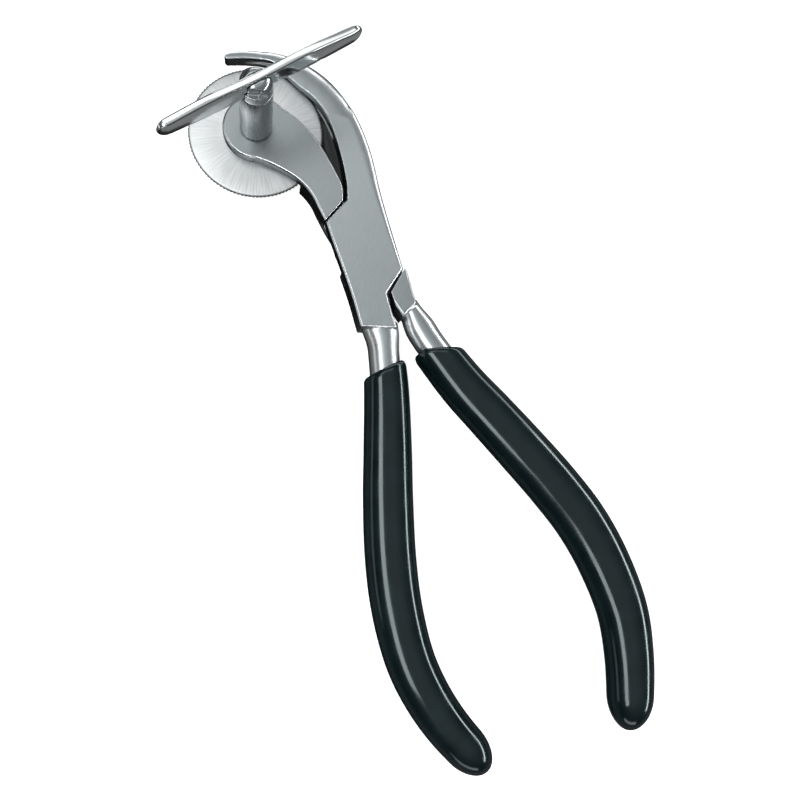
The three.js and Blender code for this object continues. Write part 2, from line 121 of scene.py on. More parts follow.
class Path:
    """A flat centripetal Catmull-Rom path, read by the share of its length."""

    def __init__(self, points, per_span=60):
        p = np.array(points, float)
        p = np.vstack([2 * p[0] - p[1], p, 2 * p[-1] - p[-2]])
        steps = np.linalg.norm(np.diff(p, axis=0), axis=1) ** 0.5
        found = []
        for i in range(1, len(p) - 2):
            d0, d1, d2 = steps[i - 1], steps[i], steps[i + 1]
            a, b, c, d = p[i - 1], p[i], p[i + 1], p[i + 2]
            ta = ((b - a) / d0 - (c - a) / (d0 + d1) + (c - b) / d1) * d1
            tb = ((c - b) / d1 - (d - b) / (d1 + d2) + (d - c) / d2) * d1
            w = np.linspace(0, 1, per_span, endpoint=False)[:, None]
            square = -3 * b + 3 * c - 2 * ta - tb
            cubic = 2 * b - 2 * c + ta + tb
            found.append(b + ta * w + square * w**2 + cubic * w**3)
        found.append(p[-2][None])
        self.points = np.vstack(found)
        along = np.linalg.norm(np.diff(self.points, axis=0), axis=1)
        self.shares = np.concatenate([[0], np.cumsum(along)])
        self.length = float(self.shares[-1])
        self.shares /= self.length
        self.tangents = np.gradient(self.points, self.shares, axis=0)
        self.tangents /= np.linalg.norm(self.tangents, axis=1)[:, None]

    def at(self, share):
        point = [np.interp(share, self.shares, self.points[:, k]) for k in (0, 1)]
        tangent = np.array([np.interp(share, self.shares, self.tangents[:, k]) for k in (0, 1)])
        return np.array(point), tangent / np.linalg.norm(tangent)


def rounded(value, squareness):
    """Turns a circle's coordinate into a rounded square's."""
    return math.copysign(abs(value) ** (2 / squareness), value) if abs(value) > 1e-9 else 0.0


# Meshes ------------------------------------------------------------------------------------------


def piece(name, vertices, faces):
    """A new object in the scene, with its faces turned outwards."""
    mesh = bpy.data.meshes.new(name)
    mesh.from_pydata([tuple(v) for v in vertices], [], faces)
    mesh.update()
    obj = bpy.data.objects.new(name, mesh)
    bpy.context.scene.collection.objects.link(obj)
    tidy = bmesh.new()
    tidy.from_mesh(mesh)
    bmesh.ops.recalc_face_normals(tidy, faces=tidy.faces)
    tidy.to_mesh(mesh)
    tidy.free()
    return obj


def at_level(flat, level):
    """Flat points, all set at one height."""
    return np.column_stack([flat, np.full(len(flat), level)])


def loft(name, rings, closed=False):
    """A body from rings of equal counts: capped at both ends, or joined from last to first."""
    rings = np.array(rings, float)
    rows, sides = rings.shape[:2]
    faces = [] if closed else [tuple(reversed(range(sides)))]
    for r in range(rows if closed else rows - 1):
        n = (r + 1) % rows
        for s in range(sides):
            t = (s + 1) % sides
            faces.append((r * sides + s, r * sides + t, n * sides + t, n * sides + s))
    if not closed:
        faces.append(tuple((rows - 1) * sides + s for s in range(sides)))
    return piece(name, rings.reshape(-1, 3), faces)


def offset(outline, distance):
    """The outline moved inwards, by one distance or one for each point, with mitred corners."""
    before, after = np.roll(outline, 1, axis=0), np.roll(outline, -1, axis=0)

    def inward(a, b):
        d = (b - a) / np.linalg.norm(b - a, axis=1)[:, None]
        return np.stack([-d[:, 1], d[:, 0]], axis=1)

    n1, n2 = inward(before, outline), inward(outline, after)
    share = 1 + np.sum(n1 * n2, axis=1)
    return outline + (distance * (n1 + n2).T / np.maximum(share, 0.35)).T


def joined_outline(*runs):
    """One anticlockwise outline from runs of points, with doubled points left out."""
    points = [np.array(runs[0][0], float)]
    for run in runs:
        for p in run[1:]:
            if np.linalg.norm(np.array(p) - points[-1]) > 1e-4:
                points.append(np.array(p, float))
    if np.linalg.norm(points[0] - points[-1]) < 1e-4:
        points.pop()
    outline = np.array(points)
    x, y = outline[:, 0], outline[:, 1]
    if np.sum(x * np.roll(y, -1) - np.roll(x, -1) * y) < 0:
        outline = outline[::-1]
    return outline


def prism(name, outline, low, high, edge_low=0.0, edge_high=0.0, rows=1):
    """An upright prism whose lower and upper edges are chamfered, or rounded with more rows."""
    levels = []
    for k in range(rows + 1 if edge_low else 1):
        turn = QUARTER * k / rows
        levels.append((edge_low * (1 - math.sin(turn)), low + edge_low * (1 - math.cos(turn))))
    for k in range(rows + 1 if edge_high else 1):
        turn = QUARTER * (1 - k / rows)
        levels.append((edge_high * (1 - math.sin(turn)), high - edge_high * (1 - math.cos(turn))))
    rings = []
    for inset, level in levels:
        rings.append(at_level(offset(outline, inset) if inset else outline, level))
    return loft(name, rings)


def circle(radius, centre=(0, 0), sides=96):
    turns = np.linspace(0, 2 * math.pi, sides, endpoint=False)
    return np.array(centre) + radius * np.column_stack([np.cos(turns), np.sin(turns)])


def turned(name, corners, sides=96, closed=False):
    """A piece turned on the saw's axis, from [radius, height] corners. If closed, it is a ring."""
    rings = [at_level(circle(radius, SPINDLE, sides), height) for radius, height in corners]
    return loft(name, rings, closed)


def softened(corners, radius, closed=False, rows=4):
    """A profile with its corners rounded."""
    points = [np.array(c, float) for c in corners]
    count = len(points)
    found = []
    for i, p in enumerate(points):
        if not closed and i in (0, count - 1):
            found.append(p)
            continue
        a, b = points[i - 1] - p, points[(i + 1) % count] - p
        la, lb = np.linalg.norm(a), np.linalg.norm(b)
        reach = min(radius, 0.45 * la, 0.45 * lb)
        start, end = p + a / la * reach, p + b / lb * reach
        for k in range(rows + 1):
            w = k / rows
            found.append(start * (1 - w) ** 2 + 2 * p * w * (1 - w) + end * w**2)
    return [tuple(f) for f in found]


def bar(name, path, stations, sides, level=HANDLE_LEVEL):
    """A bar along a flat path. Stations are [share, half width, half height, squareness]."""
    rings = []
    for share, half_width, half_height, squareness in stations:
        (x, y), (ahead_x, ahead_y) = path.at(share)
        ring = []
        for k in range(sides):
            turn = 2 * math.pi * k / sides
            across = rounded(math.cos(turn), squareness) * half_width
            up = rounded(math.sin(turn), squareness) * half_height
            ring.append((x - ahead_y * across, y + ahead_x * across, level + up))
        rings.append(ring)
    return loft(name, rings)


def block(name, low, high, turn=0.0, centre=(0, 0)):
    """A cutter: a box turned about an upright line through centre."""
    corners = np.array([[low[0], low[1]], [high[0], low[1]], [high[0], high[1]], [low[0], high[1]]])
    c, s = math.cos(turn), math.sin(turn)
    corners = corners @ np.array([[c, s], [-s, c]]) + np.array(centre)
    return prism(name, corners, low[2], high[2])


def settle(obj):
    """Applies an object's modifiers."""
    bpy.context.view_layer.update()
    depsgraph = bpy.context.evaluated_depsgraph_get()
    mesh = bpy.data.meshes.new_from_object(obj.evaluated_get(depsgraph))
    obj.modifiers.clear()
    obj.data = mesh
    return obj


def combine(obj, others, operation):
    """Joins, cuts or intersects a piece with others, and removes them."""
    for other in others:
        modifier = obj.modifiers.new("combine", "BOOLEAN")
        modifier.operation = operation
        modifier.solver = "MANIFOLD"
        modifier.object = other
        settle(obj)
    for other in set(others):
        bpy.data.objects.remove(other)
    return obj


def ground(obj, voxel, smoothing, keep):
    """Evens a solid's mesh out and breaks its sharp edges."""
    remesh = obj.modifiers.new("remesh", "REMESH")
    remesh.mode = "VOXEL"
    remesh.voxel_size = voxel
    smooth = obj.modifiers.new("smooth", "SMOOTH")
    smooth.factor = 0.5
    smooth.iterations = smoothing
    thin = obj.modifiers.new("thin", "DECIMATE")
    thin.ratio = keep
    return settle(obj)


def finished(obj, body, material, nodes, sharp=None):
    """Scales a piece to metres and sets its shading, body, slot and the nodes it stands for."""
    obj.data.transform(Matrix.Scale(MM, 4))
    obj.data.shade_smooth()
    if sharp is not None:
        edges = bmesh.new()
        edges.from_mesh(obj.data)
        for edge in edges.edges:
            if len(edge.link_faces) == 2:
                edge.smooth = edge.calc_face_angle(0) < math.radians(sharp)
        edges.to_mesh(obj.data)
        edges.free()
    obj.data.materials.clear()
    obj.data.materials.append(material)
    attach(obj, body)
    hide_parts(*nodes)


# Materials ---------------------------------------------------------------------------------------


class Shader:
    """A Principled material and short calls for its nodes."""

    def __init__(self, name, **values):
        self.material = bpy.data.materials.new(name)
        self.material.use_nodes = True
        self.tree = self.material.node_tree
        self.base = self.tree.nodes["Principled BSDF"]
        for key, value in values.items():
            socket = self.base.inputs[key.replace("_", " ")]
            socket.default_value = (*value, 1) if isinstance(value, tuple) else value

    def link(self, output, socket):
        self.tree.links.new(output, socket)

    def node(self, kind, **settings):
        made = self.tree.nodes.new(kind)
        for key, value in settings.items():
            setattr(made, key, value)
        return made

    def place(self, kind="Object"):
        return self.node("ShaderNodeTexCoord").outputs[kind]

    def mapped(self, vector, scale, turn=0.0):
        """Coordinates turned about Z, then scaled, which draws a texture out along a direction."""
        turned_space = self.node("ShaderNodeMapping", vector_type="TEXTURE")
        turned_space.inputs["Rotation"].default_value = (0, 0, turn)
        self.link(vector, turned_space.inputs["Vector"])
        scaled = self.node("ShaderNodeMapping")
        scaled.inputs["Scale"].default_value = scale
        self.link(turned_space.outputs["Vector"], scaled.inputs["Vector"])
        return scaled.outputs["Vector"]

    def noise(self, vector, scale=1.0, detail=3.0):
        made = self.node("ShaderNodeTexNoise")
        made.inputs["Scale"].default_value = scale
        made.inputs["Detail"].default_value = detail
        self.link(vector, made.inputs["Vector"])
        return made.outputs["Fac"]

    def math(self, operation, a, b=0.0):
        made = self.node("ShaderNodeMath", operation=operation)
        for value, socket in ((a, made.inputs[0]), (b, made.inputs[1])):
            if isinstance(value, (int, float)):
                socket.default_value = value
            else:
                self.link(value, socket)
        return made.outputs[0]

    def span(self, value, low, high, to_low, to_high):
        """Maps low and high to two new numbers, and holds the value between them."""
        made = self.node("ShaderNodeMapRange", clamp=True)
        for socket, number in zip(made.inputs[1:5], (low, high, to_low, to_high)):
            socket.default_value = number
        self.link(value, made.inputs[0])
        return made.outputs[0]

    def mix(self, factor, a, b):
        made = self.node("ShaderNodeMix", data_type="RGBA")
        self.link(factor, made.inputs["Factor"])
        for value, socket in ((a, made.inputs[6]), (b, made.inputs[7])):
            if isinstance(value, tuple):
                socket.default_value = (*value, 1)
            else:
                self.link(value, socket)
        return made.outputs[2]

    def bump(self, height, strength, distance, under=None):
        made = self.node("ShaderNodeBump")
        made.inputs["Strength"].default_value = strength
        made.inputs["Distance"].default_value = distance
        self.link(height, made.inputs["Height"])
        if under is not None:
            self.link(under, made.inputs["Normal"])
        return made.outputs["Normal"]


def satin_steel(name, grain_turn, colour):
    """Ground steel: grained flats, polished edges and shanks, and jaw walls darkened with painted
    shade.

    Low upward faces between the jaws, behind the blade, are painted nearly black and not metallic:
    painted shade.
    """
    s = Shader(name, Metallic=1.0)
    place = s.place()
    grain = s.noise(s.mapped(place, (3400, 420, 900), grain_turn), detail=4.0)
    cloud = s.noise(place, scale=95.0, detail=2.0)
    axes = s.node("ShaderNodeSeparateXYZ")
    s.link(s.place("Normal"), axes.inputs[0])
    tilt = s.math("ABSOLUTE", axes.outputs[2])
    flat = s.span(tilt, 0.88, 0.975, 0.0, 1.0)
    where = s.node("ShaderNodeSeparateXYZ")
    s.link(place, where.inputs[0])
    shank_end, joint_start = -19 * MM, -13 * MM
    above_ledge, below_cheek = 3.4 * MM, 3.7 * MM
    # Painted shade: a mask for the low upward faces between the jaws, behind the blade, which are
    # painted nearly black.
    upward = s.span(axes.outputs[2], 0.0, 0.2, 0.0, 1.0)
    jaws = s.span(where.outputs[1], shank_end, joint_start, 0.0, 1.0)
    low = s.span(where.outputs[2], above_ledge, below_cheek, 1.0, 0.0)
    ledge_painted_shade = s.math("MULTIPLY", s.math("MULTIPLY", low, upward), jaws)
    outside_ledge_shade = s.math("SUBTRACT", 1.0, ledge_painted_shade)
    # Painted shade: side walls on the jaws get a darker colour and a black reflection tint,
    # standing in for the dark they reflect.
    wall_painted_shade = s.math("MULTIPLY", s.span(tilt, 0.2, 0.6, 1.0, 0.0), jaws)
    edges = s.mix(wall_painted_shade, (0.74, 0.77, 0.78), (0.36, 0.385, 0.395))
    # The ledge's painted shade: nearly black.
    edges = s.mix(ledge_painted_shade, edges, (0.012, 0.014, 0.015))
    s.link(outside_ledge_shade, s.base.inputs["Metallic"])
    s.link(s.mix(wall_painted_shade, (1.0, 1.0, 1.0), (0.0, 0.0, 0.0)), s.base.inputs["Specular Tint"])
    dark = tuple(0.94 * c for c in colour)
    light = tuple(1.05 * c for c in colour)
    ground_colour = s.mix(s.span(grain, 0.3, 0.7, 0.0, 1.0), dark, light)
    ground_colour = s.mix(s.span(cloud, 0.35, 0.7, 0.0, 0.25), ground_colour, light)
    s.link(s.mix(s.math("MULTIPLY", flat, outside_ledge_shade), edges, ground_colour), s.base.inputs["Base Color"])
    rough = s.span(grain, 0.25, 0.75, 0.36, 0.43)
    polished = s.span(cloud, 0.3, 0.7, 0.22, 0.32)
    polished = s.math("MAXIMUM", polished, s.math("MULTIPLY", ledge_painted_shade, 0.55))
    level = s.node("ShaderNodeMix")
    s.link(flat, level.inputs[0])
    s.link(polished, level.inputs[2])
    s.link(rough, level.inputs[3])
    s.link(level.outputs[0], s.base.inputs["Roughness"])
    s.link(s.bump(grain, 0.12, 0.00001), s.base.inputs["Normal"])
    return s.material


def polished_steel(name, colour, roughness):
    """Bright steel with faint wipe marks."""
    s = Shader(name, Metallic=1.0)
    place = s.place()
    wipe = s.noise(s.mapped(place, (900, 260, 260), KEY_ANGLE), detail=4.0)
    cloud = s.noise(place, scale=160.0, detail=3.0)
    dull = tuple(0.95 * c for c in colour)
    s.link(s.mix(s.span(cloud, 0.35, 0.65, 0.0, 1.0), dull, colour), s.base.inputs["Base Color"])
    s.link(s.span(wipe, 0.3, 0.7, *roughness), s.base.inputs["Roughness"])
    s.link(s.bump(wipe, 0.05, 0.00001), s.base.inputs["Normal"])
    return s.material


def post_steel(name):
    """Tube steel with soft bands along its length painted in as reflection, and a dark line painted
    as shade where it meets the jaw.
    """
    s = Shader(name, Metallic=1.0)
    centred = s.node("ShaderNodeMapping")
    centred.inputs["Location"].default_value = (-SPINDLE[0] * MM, -SPINDLE[1] * MM, 0)
    centred.inputs["Scale"].default_value = (1, 1, 0.02)
    s.link(s.place(), centred.inputs["Vector"])
    # Painted reflection: light and dark bands by angle round the post stand in for the bands it
    # reflects.
    painted_reflection_bands = s.noise(centred.outputs["Vector"], scale=330.0, detail=0.0)
    fine = s.noise(centred.outputs["Vector"], scale=2600.0, detail=3.0)
    colour = s.mix(s.span(painted_reflection_bands, 0.38, 0.6, 0.0, 1.0), (0.2, 0.22, 0.226), (0.45, 0.485, 0.495))
    where = s.node("ShaderNodeSeparateXYZ")
    s.link(s.place(), where.inputs[0])
    # Painted shade: a dark line at the post's foot, where it meets the jaw.
    line_from, line_to = 8.5 * MM, 8.75 * MM
    foot_painted_shade = s.span(where.outputs[2], line_from, line_to, 1.0, 0.0)
    s.link(s.mix(foot_painted_shade, colour, (0.02, 0.022, 0.024)), s.base.inputs["Base Color"])
    s.link(s.span(fine, 0.3, 0.7, 0.26, 0.28), s.base.inputs["Roughness"])
    return s.material


def blade_steel(name):
    """Saw steel ground from the centre outwards, with a darker hardened rim and darker sectors by
    angle painted in as sheen.
    """
    s = Shader(name, Metallic=1.0, Anisotropic=0.15)
    centred = s.node("ShaderNodeMapping")
    centred.inputs["Location"].default_value = (-SPINDLE[0] * MM, -SPINDLE[1] * MM, 0)
    s.link(s.place(), centred.inputs["Vector"])
    axes = s.node("ShaderNodeSeparateXYZ")
    s.link(centred.outputs["Vector"], axes.inputs[0])
    x, y = axes.outputs[0], axes.outputs[1]
    radius = s.math("SQRT", s.math("ADD", s.math("MULTIPLY", x, x), s.math("MULTIPLY", y, y)))
    unit_x, unit_y = s.math("DIVIDE", x, radius), s.math("DIVIDE", y, radius)
    spokes = s.node("ShaderNodeCombineXYZ")
    s.link(unit_x, spokes.inputs[0])
    s.link(unit_y, spokes.inputs[1])
    s.link(s.math("MULTIPLY", radius, 5.0), spokes.inputs[2])
    streaks = s.noise(spokes.outputs[0], scale=42.0, detail=5.0)
    # Painted reflection: broad darker sectors by angle stand in for the disc's uneven sheen.
    painted_sheen_sectors = s.noise(spokes.outputs[0], scale=2.3, detail=1.0)
    colour = s.mix(s.span(streaks, 0.3, 0.7, 0.0, 1.0), (0.58, 0.60, 0.61), (0.80, 0.82, 0.82))
    colour = s.mix(s.span(painted_sheen_sectors, 0.45, 0.7, 0.0, 0.3), colour, (0.50, 0.53, 0.54))
    hardened_from, hardened_fully = 14.45 * MM, 14.7 * MM
    rim = s.span(radius, hardened_from, hardened_fully, 0.0, 1.0)
    s.link(s.mix(rim, colour, (0.10, 0.11, 0.115)), s.base.inputs["Base Color"])
    s.link(s.span(streaks, 0.3, 0.7, 0.38, 0.5), s.base.inputs["Roughness"])
    tangent = s.node("ShaderNodeTangent", direction_type="RADIAL", axis="Z")
    s.link(tangent.outputs[0], s.base.inputs["Tangent"])
    s.link(s.bump(streaks, 0.12, 0.00001), s.base.inputs["Normal"])
    return s.material


def bronze(name):
    """Plain bearing bronze with a turned grain."""
    s = Shader(name, Metallic=1.0)
    rings = s.noise(s.mapped(s.place(), (300, 300, 5000)), detail=3.0)
    colour = s.mix(s.span(rings, 0.3, 0.7, 0.0, 1.0), (0.50, 0.35, 0.16), (0.72, 0.53, 0.28))
    s.link(colour, s.base.inputs["Base Color"])
    s.link(s.span(rings, 0.3, 0.7, 0.28, 0.42), s.base.inputs["Roughness"])
    return s.material


def black_vinyl(name):
    """Glossy dipped vinyl: nearly black, with the slow ripple and fine skin of a dipped coat."""
    s = Shader(name, Metallic=0.0, Coat_Weight=0.2, Coat_Roughness=0.06)
    s.base.inputs["Specular IOR Level"].default_value = 0.4
    s.base.inputs["Specular Tint"].default_value = (0.8, 0.98, 1.0, 1)
    place = s.place()
    ripple = s.noise(place, scale=70.0, detail=1.0)
    skin = s.noise(place, scale=1500.0, detail=3.0)
    cloud = s.noise(place, scale=220.0, detail=4.0)
    tone = s.mix(s.span(cloud, 0.3, 0.7, 0.0, 1.0), (0.001, 0.005, 0.006), (0.003, 0.009, 0.0105))
    s.link(tone, s.base.inputs["Base Color"])
    s.link(s.span(cloud, 0.3, 0.7, 0.12, 0.2), s.base.inputs["Roughness"])
    slow = s.bump(ripple, 0.14, 0.0008)
    s.link(s.bump(skin, 0.08, 0.00002, slow), s.base.inputs["Normal"])
    return s.material


GUARD_STEEL = satin_steel("guard_lever_satin", math.radians(-17), (0.37, 0.408, 0.418))
SAW_STEEL = satin_steel("saw_lever_satin", math.radians(-35), (0.315, 0.348, 0.357))
POST_STEEL = post_steel("post_steel_painted_light")
FORK_STEEL = polished_steel("fork_steel", (0.44, 0.475, 0.485), (0.2, 0.25))
KEY_STEEL = polished_steel("key_steel", (0.74, 0.77, 0.78), (0.1, 0.16))
FITTING_STEEL = polished_steel("fitting_steel", (0.66, 0.69, 0.70), (0.16, 0.28))
BLADE_STEEL = blade_steel("blade_ground_steel")
BRONZE = bronze("bearing_bronze")
VINYL = black_vinyl("dipped_black_vinyl")

# The guard lever ---------------------------------------------------------------------------------

GUARD_HANDLE = [
    (3.6, -17.4),
    (4.2, -20),
    (4.6, -24),
    (5.2, -32),
    (5.5, -45),
    (5.6, -56),
    (6.2, -69),
    (7.6, -79.5),
    (10.3, -89.8),
    (13.6, -96.9),
    (18.3, -103.9),
    (27.2, -113.7),
]
GUARD_OUTER = [
    (8.5, -4.8),
    (5.1, 6.6),
    (3.4, 12.7),
    (0.9, 22.7),
    (-2.8, 31.2),
    (-8.3, 38.7),
    (-15, 43),
    (-21.5, 44.6),
    (-28, 44.4),
    (-31.3, 43.4),
]
SAW_HANDLE = [
    (9.9, -12.4),
    (12, -16.2),
    (15.2, -21.2),
    (22.6, -30.3),
    (28.6, -36.6),
    (36, -44.5),
    (43.3, -52.6),
    (49.5, -60.5),
    (54.5, -69.3),
    (58.7, -80.3),
    (60, -89.5),
    (60.1, -97.7),
    (59.5, -106.5),
]


def guard_outline():
    high_corner, low_corner = (8.5, -4.8), (4.8, -10.6)
    left, right = (-8.9, 5), (-4.3, 10.4)
    root_left, root_right = (-1.1, -18.3), (7, -18.3)
    tip = [(-31.3, 43.4), (-31.9, 42.7), (-31.3, 42.1)]
    under = [(-31.3, 42.1), (-26, 42.5), (-21.3, 42), (-18.6, 39.4), (-15.4, 36.5)]
    under += [(-11.2, 32.9), (-7.9, 27.2), (-5.7, 20.3), (-4.4, 14), right]
    plate = [left, (-7.4, 0.6), (-5.3, -5.1), (-3.1, -11.4), root_left]
    tongue = [root_right, (5.7, -14), low_corner]
    return joined_outline(
        spline(GUARD_OUTER, SPAN_STEPS),
        spline(tip, SPAN_STEPS),
        spline(under, SPAN_STEPS),
        [right, left],
        spline(plate, SPAN_STEPS),
        [root_left, root_right],
        spline(tongue, SPAN_STEPS),
        [low_corner, high_corner],
    )


def ledge_outline():
    curve = spline([(-5.6, 11.6), (-9.4, 18.6), (-11.4, 24.4), (-12.2, 30.4)], SPAN_STEPS)
    inside = [(-12.2, 30.4), (-8.5, 35), (-2.5, 27), (0.5, 20), (1.5, 11), (-5.6, 11.6)]
    return joined_outline(curve, inside)


def jaw_ledge(name):
    """The low ledge along the jaw's inner edge, behind the blade. Its free edge is well rounded."""
    rings = []
    for turn in QUARTER * np.arange(10) / 9:
        flat = offset(ledge_outline(), LEDGE_TOP * (1 - math.cos(turn)))
        rings.append(at_level(flat, LEDGE_TOP * math.sin(turn)))
    return loft(name, rings)


def outer_round(name):
    """Everything left of the jaw's outer edge, rounded over on its upper side, wider up the jaw."""
    edge = spline(GUARD_OUTER, SPAN_STEPS)
    around = [GUARD_OUTER[-1], (-45, 38), (-60, -60), (30, -60), (12, -16), GUARD_OUTER[0]]
    outline = joined_outline(edge, around)
    widths = np.interp(outline[:, 1], [-5, 10, 25], [0.8, 1.8, 3.0])
    depth = 1.3
    rings = [at_level(outline, -1.0)]
    for turn in QUARTER * np.arange(10) / 9:
        flat = offset(outline, widths * (1 - math.cos(turn)))
        rings.append(at_level(flat, JOINT_THICKNESS - depth * (1 - math.sin(turn))))
    return loft(name, rings)


def guard_recess(name, half_width):
    top = LAP_LEVEL + LAP_GAP / 2
    return block(name, (-30, -half_width, -1), (30, half_width, top), LAP_TURN)


def guard_blank(name):
    blank = prism(name, guard_outline(), 0, JOINT_THICKNESS, GUARD_EDGE, GUARD_EDGE)
    combine(blank, [outer_round("outer_round")], "INTERSECT")
    combine(blank, [jaw_ledge("ledge")], "UNION")
    return combine(blank, [guard_recess("recess", LAP_HALF_WIDTH)], "DIFFERENCE")


def guard_sweep(name):
    """The guard lever with a little room round it, which clears its way past the saw lever."""
    blank = prism(name, offset(guard_outline(), -SWEEP_ROOM), -0.5, JOINT_THICKNESS + 0.5)
    ledge = prism("ledge", offset(ledge_outline(), -SWEEP_ROOM), -0.5, LEDGE_TOP + 0.15)
    combine(blank, [ledge], "UNION")
    recess = guard_recess("recess", LAP_HALF_WIDTH - SWEEP_ROOM)
    return combine(blank, [recess], "DIFFERENCE")


def jaw_envelope(name):
    """The guard jaw's section: flat at the joint, and rounder and thinner up to the guard."""
    inner = [(3, -40), (1, -19), (-1.5, 0), (-4.4, 14), (-5.7, 20.3), (-7.9, 27.2)]
    inner += [(-11.2, 32.9), (-15.4, 37.6), (-20.6, 41), (-26.5, 42.1), (-33, 41.6)]
    # Share of the edge's length, half width, half height and squareness.
    table = np.array(
        [
            (0, 40, 6, 10),
            (0.3, 32, 6, 10),
            (0.46, 21, 6, 4),
            (0.56, 16, 5.4, 3.5),
            (0.64, 10.5, 4.5, 3),
            (0.71, 7.1, 3.8, 2.6),
            (0.78, 6.1, 3.3, 2.5),
            (0.85, 4.6, 2.5, 2.5),
            (0.91, 3.2, 2, 2.5),
            (1, 2.6, 1.75, 2.5),
        ]
    )
    shares = np.concatenate([np.linspace(0, 0.46, 12, endpoint=False), np.linspace(0.46, 1, 90)])
    stations = [(s, *[np.interp(s, table[:, 0], table[:, k]) for k in (1, 2, 3)]) for s in shares]
    return bar(name, Path(inner), stations, 160, 4.15)


def shortened(points, distance):
    """A path whose last point is moved back by a distance."""
    last, before = np.array(points[-1]), np.array(points[-2])
    step = (last - before) / np.linalg.norm(last - before) * distance
    return points[:-1] + [tuple(last - step)]


def handle_core(name, points, root_half_width):
    """The round steel core of a handle, with a domed end inside the grip."""
    path = Path(shortened(points, CORE_SETBACK))
    stations = []
    bare_part = np.linspace(0, 0.25, 60, endpoint=False)
    for share in np.concatenate([bare_part, np.linspace(0.25, 1 - CORE_DOME, 60)]):
        near_root = max(0.0, 1 - share / ROOT_SHARE)
        near_root = near_root * near_root * (3 - 2 * near_root)
        half_width = SHANK_RADIUS + (root_half_width - SHANK_RADIUS) * near_root
        stations.append((share, half_width, SHANK_RADIUS, 2.0))
    for k in range(1, 9):
        turn = k / 8 * 1.45
        size = SHANK_RADIUS * math.cos(turn)
        stations.append((1 - CORE_DOME + CORE_DOME * math.sin(turn), size, size, 2.0))
    return bar(name, path, stations, 72)


def blade_groove(name, turn):
    centre = Matrix.Rotation(turn, 2) @ Vector(SPINDLE)
    middle = (BLADE_BACK + BLADE_FRONT) / 2
    disc = circle(GROOVE_RADIUS, centre, 240)
    return prism(name, disc, middle - GROOVE_HALF_WIDTH, middle + GROOVE_HALF_WIDTH)


guard = guard_blank("guard_lever_steel")
combine(guard, [jaw_envelope("envelope")], "INTERSECT")
combine(guard, [handle_core("core", GUARD_HANDLE, 4.1)], "UNION")
cutters = [
    blade_groove("groove", 0.0),
    blade_groove("groove", CLOSED_TURN),
    prism("bore", circle(RIVET_BORE), -1, RIVET_BORE_TOP),
]
combine(guard, cutters, "DIFFERENCE")
ground(guard, voxel=0.15, smoothing=3, keep=0.3)
finished(guard, GUARD_BODY, GUARD_STEEL, ["guard_lever"])

# The saw lever -----------------------------------------------------------------------------------


def saw_outline():
    left, right = (-3.4, -5.6), (4.9, -10.8)
    root_left, root_right = (8.4, -15.8), (11.4, -12.7)
    under = [(-24.4, 18.5), (-20.4, 17.1), (-15.5, 14.4), (-12.3, 11.2), (-10.5, 7.8), (-8.7, 4.4)]
    plate_left = [(-8.7, 4.4), (-6.8, 1.2), (-6, -1.4), left]
    plate_right = [(9.4, -5.8), (7.4, -1.6), (6.4, 2.3), (3.9, 5.6)]
    upper = [(-3.9, 10.6), (-6.7, 16.5), (-10.6, 23), (-15.1, 28), (-19.4, 30.9)]
    return joined_outline(
        spline(under, SPAN_STEPS),
        spline(plate_left, SPAN_STEPS),
        [left, right, root_left, root_right, (9.4, -5.8)],
        spline(plate_right, SPAN_STEPS),
        [(3.9, 5.6), (-3.9, 10.6)],
        spline(upper, SPAN_STEPS),
        [(-19.4, 30.9), (-24.4, 18.5)],
    )


def saw_recess(name):
    """The front of the saw lever that the guard lever's plate fills, between the two shoulders."""
    field = [(-16.3, -3.8), (-12, -14), (-0.8, -19.2), (14.3, 4.1), (14, 12), (-2.2, 12.9)]
    return prism(name, joined_outline(field), LAP_LEVEL - LAP_GAP / 2, JOINT_THICKNESS + 1)


saw = prism("saw_lever_steel", saw_outline(), 0, JOINT_THICKNESS, SAW_EDGE, SAW_EDGE)
head_disc = circle(HEAD_RADIUS, SPINDLE, 200)
combine(saw, [prism("head", head_disc, 0, JOINT_THICKNESS, SAW_EDGE, SAW_EDGE)], "UNION")
cutters = [
    saw_recess("recess"),
    prism("pocket", circle(POCKET_RADIUS, SPINDLE, 240), -1, CHEEK_BACK),
    prism("spigot", circle(SPIGOT_BORE, SPINDLE), 0, JOINT_THICKNESS + 1),
    prism("bore", circle(RIVET_BORE), -1, JOINT_THICKNESS),
]
combine(saw, cutters, "DIFFERENCE")
saw_core = combine(handle_core("core", SAW_HANDLE, 2.4), [saw_recess("recess")], "DIFFERENCE")
combine(saw, [saw_core], "UNION")
sweep = guard_sweep("sweep")
sweeps = []
for step in range(SWEEP_STEPS + 1):
    copy = bpy.data.objects.new("sweep_copy", sweep.data.copy())
    bpy.context.scene.collection.objects.link(copy)
    turn = math.radians(SWEEP_START - SWEEP_TRAVEL * step / SWEEP_STEPS)
    copy.data.transform(Matrix.Rotation(turn, 4, "Z"))
    sweeps.append(copy)
bpy.data.objects.remove(sweep)
combine(saw, sweeps, "DIFFERENCE")
ground(saw, voxel=0.15, smoothing=2, keep=0.3)
finished(saw, SAW_BODY, SAW_STEEL, ["saw_lever"])

# The grips ---------------------------------------------------------------------------------------


